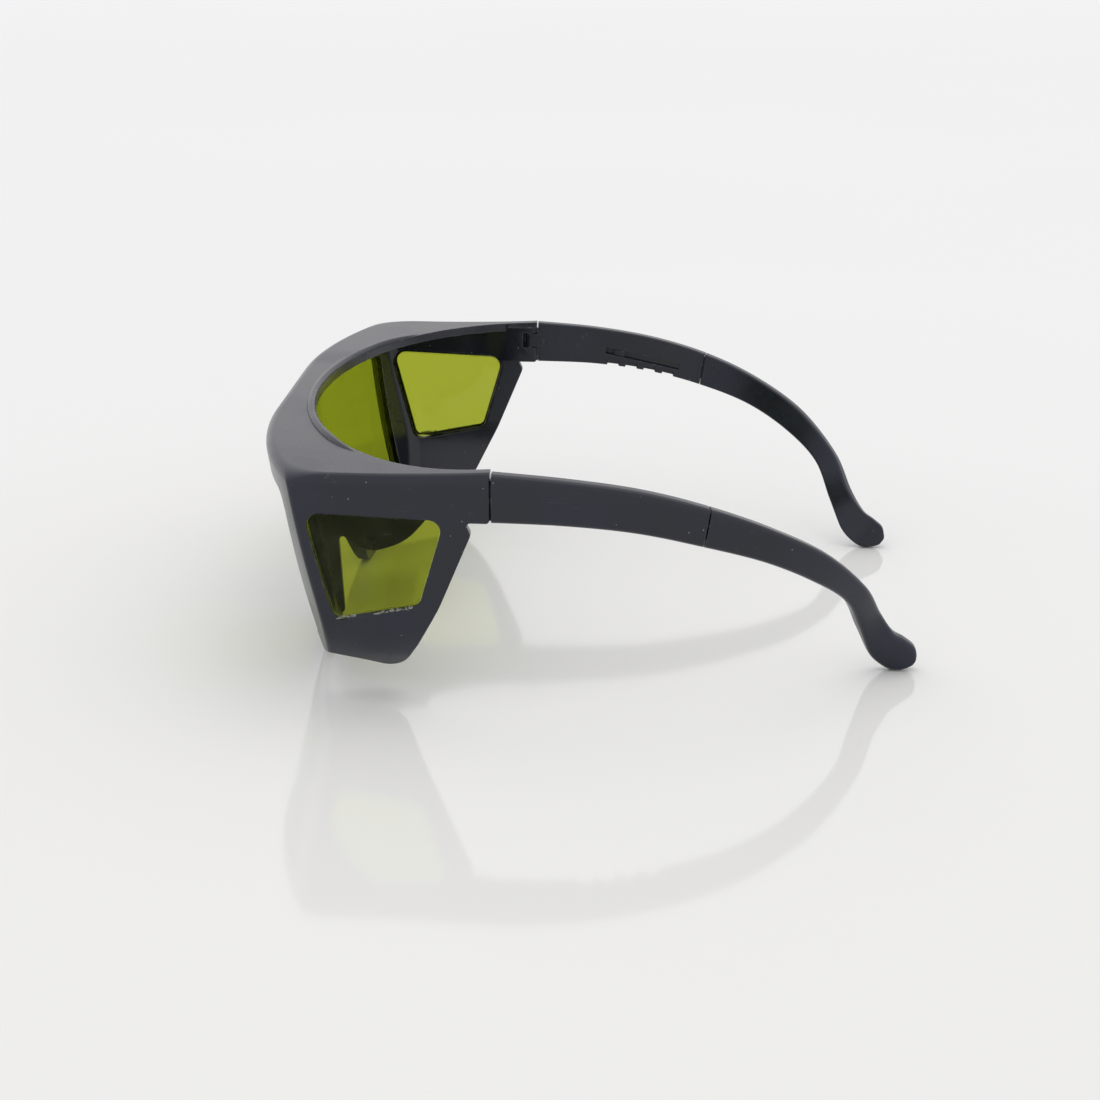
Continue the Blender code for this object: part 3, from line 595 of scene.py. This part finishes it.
def strand(name, points):
    """A guide of points in millimetres, joined one after another by edges."""
    mesh = bpy.data.meshes.new(name)
    places = [(x * MM, (y + SEAM_Y) * MM, z * MM) for x, y, z in points]
    mesh.from_pydata(places, [(i, i + 1) for i in range(len(places) - 1)], [])
    obj = bpy.data.objects.new(name, mesh)
    bpy.context.scene.collection.objects.link(obj)
    return obj


sweep, given, out = group("swept_bead", {"Radius": "NodeSocketFloat", "Material": "NodeSocketMaterial"})
path = tree_node(sweep, "GeometryNodeMeshToCurve", {}, {"Mesh": given.outputs["Geometry"]})
profile = tree_node(sweep, "GeometryNodeCurvePrimitiveCircle", {}, {
    "Resolution": 20, "Radius": given.outputs["Radius"]})
width = tree_node(sweep, "GeometryNodeInputNamedAttribute", {"data_type": "FLOAT"}, {"Name": "width"})
swept = tree_node(sweep, "GeometryNodeCurveToMesh", {}, {
    "Curve": path.outputs[0], "Profile Curve": profile.outputs["Curve"], "Scale": width.outputs["Attribute"],
    "Fill Caps": True})
shaded = tree_node(sweep, "GeometryNodeSetShadeSmooth", {}, {"Geometry": swept.outputs[0]})
closing(sweep, given, out, shaded.outputs[0])

route = []
widths = []
for p in face_curve(BEAD_RADIUS, 240, 30):
    fade = min(max((p.y - BEAD_FADE[0]) / (BEAD_FADE[1] - BEAD_FADE[0]), 0.0), 1.0)
    fade = fade * fade * (3 - 2 * fade)
    route.append((p.x, p.y, BROW_Z + BEAD_RISE - BEAD_SINK * fade))
    widths.append(1.0 - BEAD_THINNING * fade)
bead = strand("face_bead", route)
bead.data.attributes.new("width", "FLOAT", "POINT").data.foreach_set("value", widths)
grow_piece(bead, sweep, {"Radius": BEAD_RADIUS * MM, "Material": front.data.materials[0]})
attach(bead, "front")


# ============================================================================================================
# Shield: one wrap-round sheet of yellow-green polycarbonate, 1.5 mm thick, moulded to the curve of the rim.
# It drops into the step behind the rim from inside and is welded there.
# ============================================================================================================

SHIELD_THICK, LENS_SLACK = 1.5, 0.25
SHIELD_NEAR = LENS_STEP + 0.1


def tinted_polycarbonate(name, tint, haze):
    """A clear tinted sheet that mirrors by its angle, with dust and hairlines that catch the light."""
    board = Board(name, {"Metallic": 1.0, "Base Color": (0.86, 0.88, 0.80, 1.0)})
    place = board.add("ShaderNodeTexCoord", {}, {}, "Object")
    clear = board.add("ShaderNodeBsdfTransparent", {}, {"Color": tint + (1.0,)})
    mirror = board.add("ShaderNodeFresnel", {}, {"IOR": 1.45}) * 0.28
    lines = hairlines(board, place, (0.3, 0.2, 0.7), 30.0, 0.50)
    dots = board.add("ShaderNodeTexVoronoi", {}, {"Vector": place, "Scale": 500.0})
    smear = ramp(board, noise(board, place, 60.0, 4.0), 0.45, 0.75)
    soft_edge = board.add("ShaderNodeBevel", {"samples": 6}, {"Radius": 0.0003})
    true_face = board.add("ShaderNodeNewGeometry", {}, {}, "Normal")
    both = {0: soft_edge, 1: true_face}
    facing = board.add("ShaderNodeVectorMath", {"operation": "DOT_PRODUCT"}, both, "Value")
    edge = 1 - ramp(board, facing, 0.80, 0.99)
    veil = mirror + lines * 0.04 + (dots < 0.045) * 0.10 + smear * haze + edge * 0.30
    board.feed("Roughness", 0.03 + smear * 0.05 + lines * 0.2 + edge * 0.3)
    mixed = board.add("ShaderNodeMixShader", {}, {0: veil, 1: clear})
    board.tree.links.new(board.shader.outputs[0], mixed.socket.node.inputs[2])
    board.tree.links.new(mixed.socket, board.tree.nodes["Material Output"].inputs["Surface"])
    return board.material


SHIELD_TINT = (0.503, 0.553, 0.117)
shield = as_piece("shield", wall_layer(SHIELD_NEAR, SHIELD_NEAR + SHIELD_THICK))
shield_edge = drawn_out(shield_outline(REBATE - LENS_SLACK), "y", *FRONT_REACH)
carve(shield, as_piece("shield_edge", shield_edge), "INTERSECT")
set_piece(shield)
paint(shield, tinted_polycarbonate("shield_polycarbonate", SHIELD_TINT, 0.01))
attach(shield, "front")
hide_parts("front_lens")


# ============================================================================================================
# Side windows: a flat pane of the same polycarbonate in each side panel, with a raised middle that fills the
# window from inside. Each is welded round its flange, which leaves pale crumbs of flash along its lower edge.
# ============================================================================================================

PANE_THICK, PANE_CHAMFER, PANE_SLACK, PANE_RISE, PANE_BEVEL = 1.3, 0.35, 0.1, 0.45, 0.2


def window_pane(side):
    """A flat pane with a flange behind the window's step and a raised middle with a chamfered edge."""
    seat_x = PANEL_X - WINDOW_STEP - PANE_SLACK
    face_x = seat_x + PANE_RISE
    flange = grown(window, WINDOW_REBATE - LENS_SLACK)
    raised = grown(window, -LENS_SLACK)
    crown = grown(window, -LENS_SLACK - PANE_CHAMFER)
    layers = [(flange, seat_x - PANE_THICK), (flange, seat_x)]
    layers += [(raised, seat_x), (raised, face_x - PANE_BEVEL), (crown, face_x)]
    return loft([[(side * x, p.x, p.y) for p in outline] for outline, x in layers])


PANE_TINT = (0.62, 0.663, 0.193)
pane_material = tinted_polycarbonate("pane_polycarbonate", PANE_TINT, 0.02)
for name, side in SIDES.items():
    pane = as_piece(name + "_window_pane", window_pane(side))
    set_piece(pane)
    paint(pane, pane_material)
    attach(pane, "front")
    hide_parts(name + "_side_lens")


# ============================================================================================================
# Weld flash: pale crumbs of polycarbonate squeezed out along the lower edge of each side window when its pane
# was welded in. They are small rounded lumps of random size, strewn along the edge.
# ============================================================================================================

FLASH_INSET = 0.25  # the crumbs' middles lie this far inside the panel's outer face
STREWN_X, STREWN_Y, STREWN_Z = 0.00008, 0.0004, 0.00022
DENT = 0.0003
crumbling, given, out = group("flash_crumbs", {
    "Count": "NodeSocketInt", "Size": "NodeSocketFloat", "Spread": "NodeSocketFloat", "Seed": "NodeSocketInt",
    "Material": "NodeSocketMaterial"})
path = tree_node(crumbling, "GeometryNodeMeshToCurve", {}, {"Mesh": given.outputs["Geometry"]})
spots = tree_node(crumbling, "GeometryNodeCurveToPoints", {}, {
    "Curve": path.outputs[0], "Count": given.outputs["Count"]})
wide = tree_node(crumbling, "ShaderNodeCombineXYZ", {}, {
    "X": STREWN_X, "Y": given.outputs["Spread"], "Z": STREWN_Z})
narrow = tree_node(crumbling, "ShaderNodeVectorMath", {"operation": "SCALE"}, {
    0: wide.outputs[0], "Scale": -1.0})
jitter = tree_node(crumbling, "FunctionNodeRandomValue", {"data_type": "FLOAT_VECTOR"}, {
    0: narrow.outputs[0], 1: wide.outputs[0], "Seed": given.outputs["Seed"]})
strewn = tree_node(crumbling, "GeometryNodeSetPosition", {}, {
    "Geometry": spots.outputs["Points"], "Offset": jitter.outputs[0]})
lump = tree_node(crumbling, "GeometryNodeMeshIcoSphere", {}, {
    "Radius": given.outputs["Size"], "Subdivisions": 3})
dent = tree_node(crumbling, "ShaderNodeTexNoise", {}, {"Scale": 2600.0, "Detail": 1.0})
push = tree_node(crumbling, "ShaderNodeVectorMath", {"operation": "SUBTRACT"}, {
    0: dent.outputs["Color"], 1: (0.5, 0.5, 0.5)})
shove = tree_node(crumbling, "ShaderNodeVectorMath", {"operation": "SCALE"}, {
    0: push.outputs[0], "Scale": DENT})
lumpy = tree_node(crumbling, "GeometryNodeSetPosition", {}, {
    "Geometry": lump.outputs["Mesh"], "Offset": shove.outputs[0]})
grade = tree_node(crumbling, "FunctionNodeRandomValue", {"data_type": "FLOAT_VECTOR"}, {
    0: (0.3, 0.4, 0.3), 1: (0.7, 1.5, 1.1), "Seed": given.outputs["Seed"]})
spin = tree_node(crumbling, "FunctionNodeRandomValue", {"data_type": "FLOAT_VECTOR"}, {
    0: (-0.5, -0.5, -0.5), 1: (0.5, 0.5, 0.5), "Seed": given.outputs["Seed"]})
sown = tree_node(crumbling, "GeometryNodeInstanceOnPoints", {}, {
    "Points": strewn.outputs[0], "Instance": lumpy.outputs[0], "Scale": grade.outputs[0],
    "Rotation": spin.outputs[0]})
soft = tree_node(crumbling, "GeometryNodeSetShadeSmooth", {}, {"Geometry": sown.outputs[0]})
closing(crumbling, given, out, soft.outputs[0])

flash = Board("weld_flash", {"Roughness": 0.35, "IOR": 1.58})
grain = noise(flash, flash.add("ShaderNodeTexCoord", {}, {}, "Object"), 1500.0, 3.0)
flash.feed("Base Color", mix_colours(flash, grain, (0.10, 0.11, 0.06, 1.0), (0.34, 0.35, 0.28, 1.0)))
flash.feed("Roughness", 0.25 + grain * 0.3)
RUNS = [  # y and z where a run of crumbs starts and ends, the number of crumbs and their size
    (-35.2, 21.4, -31.0, 22.1, 16, 0.00028),
    (-26.5, 22.7, -18.0, 24.3, 30, 0.00032),
]
for name, side in SIDES.items():
    for index, (y_from, z_from, y_to, z_to, count, size) in enumerate(RUNS):
        x = side * (PANEL_X - FLASH_INSET)
        line = [(x, y_from, z_from), (x, y_to, z_to)]
        crumbs = strand(f"{name}_weld_flash_{index + 1}", line)
        grow_piece(crumbs, crumbling, {
            "Count": count, "Size": size, "Spread": STREWN_Y, "Seed": 7 * index + 3 + side,
            "Material": flash.material})
        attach(crumbs, "front")


# ============================================================================================================
# Hinge screws: a small turned steel screw through the lugs of the front and the knuckle of each temple, put
# in from below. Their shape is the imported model's own, and only their finish is made here.
# ============================================================================================================

steel = Board("screw_steel", {"Metallic": 1.0})
turned = noise(steel, steel.add("ShaderNodeTexCoord", {}, {}, "Object"), 4000.0, 2.0)
steel.feed("Base Color", mix_colours(steel, turned, (0.42, 0.42, 0.44, 1.0), (0.62, 0.62, 0.64, 1.0)))
steel.feed("Roughness", 0.22 + turned * 0.2)
for name in SIDES:
    paint(frame["nodes"][name + "_hinge_screw"], steel.material)


# ============================================================================================================
# Temple sleeves: the front half of each temple, moulded in the same nylon. A knuckle goes between the lugs of
# the front. The sleeve is cored for the tongue, with a slot for its stop and a row of click notches inside.
# ============================================================================================================

UPPER_RAIL = [
    (78.4, 0.2, 56.2), (78.4, 17.0, 54.9), (77.3, 33.5, 52.5), (75.6, 49.0, 48.4), (71.8, 63.8, 42.4),
    (65.4, 76.8, 34.6), (57.3, 86.4, 24.3), (50.6, 90.8, 15.6), (49.2, 94.2, 10.0), (48.4, 97.0, 7.9),
    (48.0, 99.3, 6.0), (47.8, 99.9, 4.2), (47.8, 99.7, 2.9),
]
LOWER_RAIL = [
    (78.4, 0.2, 44.8), (78.4, 16.6, 44.4), (77.3, 32.6, 42.7), (75.7, 47.6, 39.4), (71.9, 61.8, 34.8),
    (66.2, 73.3, 28.5), (59.0, 81.6, 21.2), (52.8, 86.0, 12.0), (49.8, 88.4, 4.8), (48.2, 91.6, 1.2),
    (47.9, 94.6, 0.0), (47.8, 97.2, 0.4), (47.8, 98.7, 1.4),
]
SPLIT = 3.0
SLEEVE_THICK = 3.6
OUTER_ROUND, INNER_ROUND, FACE_CROWN = 1.3, 0.5, 0.25
SLIDE_POINT = Vector((73.9, 48.4, 44.0))
slide = next(joint for joint in frame["joints"] if joint["name"] == "left_slide")
SLIDE_AXIS = Vector(slide["axis"]).normalized()
SLOT_DROP, SLOT_HALF, SLOT_RUN = 0.9, 0.95, (-28.8, -7.2)
CHANNEL_FRONT, CHANNEL_HALF, CHANNEL_HALF_THICK = -30.6, 3.3, 0.95
NOTCH_FIRST_Y, NOTCH_PITCH, NOTCHES = 22.15, 5.3, 4
NOTCH_ROOF, NOTCH_MOUTH, NOTCH_DEPTH, NOTCH_SKIN = 1.35, 1.95, 1.5, 1.0  # the first two are half widths
KNUCKLE_RADIUS, KNUCKLE_ROOT_Y, KNUCKLE_Z = 1.3, 1.8, (49.2, 53.1)


def on_rail(rail, station):
    """A point on the smooth curve through a rail's stations."""
    i = min(int(station), len(rail) - 2)
    t = station - i
    a, b, c, d = (Vector(rail[min(max(k, 0), len(rail) - 1)]) for k in (i - 1, i, i + 1, i + 2))
    return 0.5 * (2 * b + (c - a) * t + (2 * a - 5 * b + 4 * c - d) * t * t + (3 * b - a - 3 * c + d) * t**3)


def temple_axes(station, step=0.02):
    """The lower edge, the height, and the up and outward directions of a temple at a station."""
    lower = on_rail(LOWER_RAIL, station)
    up = on_rail(UPPER_RAIL, station) - lower
    high, low = min(station + step, len(UPPER_RAIL) - 1), max(station - step, 0.0)
    along = Vector((0, 0, 0))
    for rail in (UPPER_RAIL, LOWER_RAIL):
        along += on_rail(rail, high) - on_rail(rail, low)
    return lower, up.length, up.normalized(), along.normalized().cross(up.normalized()).normalized()


def temple_ring(side, station, thick):
    """A temple's section: a crowned outer face with rounded edges, and a flat inner face."""
    lower, height, up, out = temple_axes(station)
    outer, inner = min(OUTER_ROUND, height * 0.4), min(INNER_ROUND, height * 0.2)
    crown = [(FACE_CROWN * math.sin(math.pi * k / 8), height * k / 8, 0.0) for k in range(2, 7)]
    corners = [(0, 0, outer)] + crown + [(0, height, outer), (-thick, height, inner), (-thick, 0, inner)]
    points = [lower + out * p.x + up * p.y for p in rounded(corners, 7)]
    return [(side * p.x, p.y, p.z) for p in points]


def slide_box(side, along, upward, outward):
    """A box along the slide, given by its reach each way from the slide's own point."""
    out = SLIDE_AXIS.cross(Vector((0, 0, 1))).normalized()
    up = out.cross(SLIDE_AXIS)
    rings = []
    for s in along:
        ring = []
        for u, o in ((0, 0), (1, 0), (1, 1), (0, 1)):
            ring.append(SLIDE_POINT + SLIDE_AXIS * s + up * upward[u] + out * outward[o])
        rings.append([(side * p.x, p.y, p.z) for p in ring])
    return loft(rings)


def notch(side, y):
    """One click notch in the lower inner edge, wider at its mouth."""
    station = SPLIT * y / LOWER_RAIL[3][1]
    for _ in range(8):
        station += (y - on_rail(LOWER_RAIL, station).y) * SPLIT / LOWER_RAIL[3][1]
    lower, _, up, out = temple_axes(station)
    along = up.cross(out)
    rings = []
    for o in (-NOTCH_SKIN, -SLEEVE_THICK - 2.0):
        corners = [(-NOTCH_ROOF, NOTCH_DEPTH), (NOTCH_ROOF, NOTCH_DEPTH)]
        corners += [(NOTCH_MOUTH, -0.8), (-NOTCH_MOUTH, -0.8)]
        ring = [lower + along * s + up * u + out * o for s, u in corners]
        rings.append([(side * p.x, p.y, p.z) for p in ring])
    return loft(rings)


def knuckle(side):
    """The hinge knuckle in front of the sleeve's butt end, half round about the screw."""
    axis = Vector((side * PIN_X, PIN_FROM_SEAM))
    turns = [math.pi + math.pi * i / 20 for i in range(21)]
    outline = [axis + KNUCKLE_RADIUS * Vector((math.cos(a), math.sin(a))) for a in turns]
    outline += [Vector((axis.x + x, KNUCKLE_ROOT_Y)) for x in (KNUCKLE_RADIUS, -KNUCKLE_RADIUS)]
    return drawn_out(outline, "z", *KNUCKLE_Z)


temple_nylon = moulded_nylon("temple_nylon", (0.0032, 0.0048, 0.0125), (0.2, 0.1, 0.0))
for name, side in SIDES.items():
    rings = [temple_ring(side, SPLIT * i / 60, SLEEVE_THICK) for i in range(61)]
    sleeve = as_piece(name + "_sleeve", loft(rings))
    carve(sleeve, as_piece(name + "_knuckle", knuckle(side)), "UNION")
    carve(sleeve, as_piece(name + "_knuckle_hole", on_pin(side, PIN_HOLE, 45, 58)))
    tall = (-CHANNEL_HALF, CHANNEL_HALF)
    channel = slide_box(side, (CHANNEL_FRONT, 4.0), tall, (-CHANNEL_HALF_THICK, CHANNEL_HALF_THICK))
    carve(sleeve, as_piece(name + "_channel", channel))
    slot = slide_box(side, SLOT_RUN, (-SLOT_DROP - SLOT_HALF, -SLOT_DROP + SLOT_HALF), (-4.0, 0.0))
    carve(sleeve, as_piece(name + "_slot", slot))
    for i in range(NOTCHES):
        carve(sleeve, as_piece(f"{name}_notch_{i + 1}", notch(side, NOTCH_FIRST_Y + NOTCH_PITCH * i)))
    set_piece(sleeve)
    paint(sleeve, temple_nylon)
    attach(sleeve, name + "_arm")
    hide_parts(name + "_temple_sleeve")


# ============================================================================================================
# Temple tips: the rear half of each temple, which curves down and in behind the ear to a small foot. A
# straight tongue, moulded with it, slides in the sleeve, with a stop in the slot and a nub for the notches.
# ============================================================================================================

TIP_THICK = 3.2
SPLIT_GAP = 0.02  # in stations
TONGUE_RUN, TONGUE_HALF, TONGUE_HALF_THICK = (-29.8, 6.0), 2.9, 0.75
STOP_RUN, STOP_HALF, STOP_RISE = (-26.5, -23.2), 0.75, 1.75
NUB_RUN, NUB_DROP, NUB_HALF_THICK = (-28.8, -27.2), 0.25, 0.55

for name, side in SIDES.items():
    start, last = SPLIT + SPLIT_GAP, len(UPPER_RAIL) - 1
    rings = []
    for i in range(131):
        station = start + (last - start) * i / 130
        thick = SLEEVE_THICK + (TIP_THICK - SLEEVE_THICK) * min((station - start) / 2, 1)
        rings.append(temple_ring(side, station, thick))
    tip = as_piece(name + "_tip", loft(rings))
    flat = (-TONGUE_HALF_THICK, TONGUE_HALF_THICK)
    tongue = slide_box(side, TONGUE_RUN, (-TONGUE_HALF, TONGUE_HALF), flat)
    carve(tip, as_piece(name + "_tongue", tongue), "UNION")
    stop = slide_box(side, STOP_RUN, (-SLOT_DROP - STOP_HALF, -SLOT_DROP + STOP_HALF), (-STOP_RISE, 0.0))
    carve(tip, as_piece(name + "_stop", stop), "UNION")
    nub = slide_box(side, NUB_RUN, (-TONGUE_HALF - NUB_DROP, 0.0), (-NUB_HALF_THICK, NUB_HALF_THICK))
    carve(tip, as_piece(name + "_nub", nub), "UNION")
    set_piece(tip)
    paint(tip, temple_nylon)
    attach(tip, name + "_tip")
    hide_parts(name + "_temple_tip")


# ============================================================================================================
# Studio: the glasses stand on a pale glossy sheet under broad soft light, seen from the wearer's left and a
# little above.
# ============================================================================================================

sheet = bmesh.new()
bmesh.ops.create_grid(sheet, x_segments=1, y_segments=1, size=6.0)
floor_mesh = bpy.data.meshes.new("floor")
sheet.to_mesh(floor_mesh)
sheet.free()
floor = bpy.data.objects.new("floor", floor_mesh)
bpy.context.scene.collection.objects.link(floor)
floor.location.z = min(cad_low.z, 0.0) - 0.0001
pale = Board("pale_sheet", {"IOR": 1.45})
ground = pale.add("ShaderNodeTexCoord", {}, {}, "Object")
drift = noise(pale, ground, 3.0, 2.0)
pale.feed("Base Color", mix_colours(pale, drift, (0.80, 0.80, 0.778, 1.0), (0.83, 0.83, 0.808, 1.0)))
pale.feed("Roughness", 0.06 + drift * 0.03)
paint(floor, pale.material)

world = bpy.data.worlds.new("studio")
world.use_nodes = True
world.node_tree.nodes["Background"].inputs["Color"].default_value = (0.975, 0.968, 0.990, 1.0)
world.node_tree.nodes["Background"].inputs["Strength"].default_value = 0.98
bpy.context.scene.world = world


def softbox(name, place, aim, size, power, colour):
    lamp = bpy.data.lights.new(name, "AREA")
    lamp.shape = "RECTANGLE"
    lamp.size, lamp.size_y = size
    lamp.energy = power
    lamp.color = colour
    obj = bpy.data.objects.new(name, lamp)
    obj.location = place
    obj.rotation_euler = (Vector(aim) - Vector(place)).to_track_quat("-Z", "Y").to_euler()
    bpy.context.scene.collection.objects.link(obj)


softbox("overhead", (-0.1, 0.1, 1.4), (0.0, 0.0, 0.0), (1.2, 1.2), 2.5, (1.0, 0.99, 0.97))

CAMERA_AT = Vector((526.8, 41.3 + SEAM_Y, 192.1)) * MM
YAW, PITCH, ROLL = 0.0621, 0.3282, 0.0043
look = Vector((-math.cos(YAW) * math.cos(PITCH), -math.sin(YAW) * math.cos(PITCH), -math.sin(PITCH)))
level = Vector((-math.sin(YAW), math.cos(YAW), 0.0))
upright = level.cross(look)
right = math.cos(ROLL) * level + math.sin(ROLL) * upright
upward = math.cos(ROLL) * upright - math.sin(ROLL) * level
lens = bpy.data.cameras.new("camera")
lens.sensor_width = 36.0
lens.lens = 69.53
lens.clip_start = 0.01
camera = bpy.data.objects.new("camera", lens)
camera.matrix_world = Matrix.Translation(CAMERA_AT) @ Matrix((right, upward, -look)).transposed().to_4x4()
bpy.context.scene.collection.objects.link(camera)
bpy.context.scene.camera = camera
bpy.context.scene.view_settings.view_transform = "Standard"
